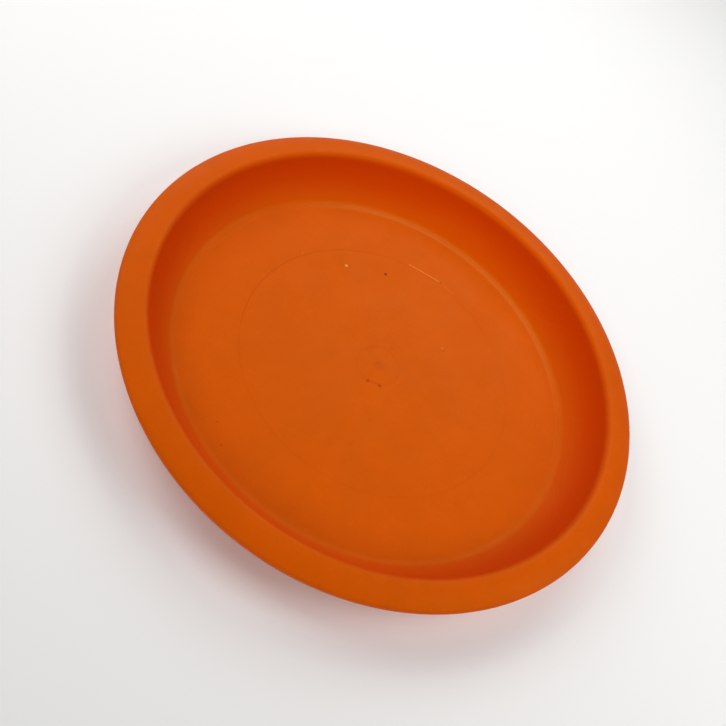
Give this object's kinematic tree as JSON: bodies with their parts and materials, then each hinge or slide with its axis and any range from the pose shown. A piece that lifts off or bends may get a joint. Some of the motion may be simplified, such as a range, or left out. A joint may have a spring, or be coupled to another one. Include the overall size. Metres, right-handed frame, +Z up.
{
  "type": "flying disc",
  "caption": "Moulded plastic flying disc with a heavy rounded rim, a concave inner wall and a thin flat plate, lying hollow side up.",
  "frame": {"origin": "middle of the flat outer face of the flight plate, on which the disc rests", "axes": "+Z up along the disc's axis, out of the hollow; X and Y lie in the plate"},
  "size_m": [0.212, 0.212, 0.0204],
  "materials": {
    "rim_plastic": "satin orange, fine grain",
    "plate_plastic": "satin orange, fine grain",
    "mark_plastic": "satin orange, slightly worn"
  },
  "bodies": {
    "root": {"rim": "rim_plastic", "flight_plate": "plate_plastic", "centre_panel": "plate_plastic", "plate_edge_bead": "plate_plastic", "insert_line": "mark_plastic", "gate_ring": "mark_plastic", "gate_pip": "mark_plastic"}
  },
  "joints": []
}
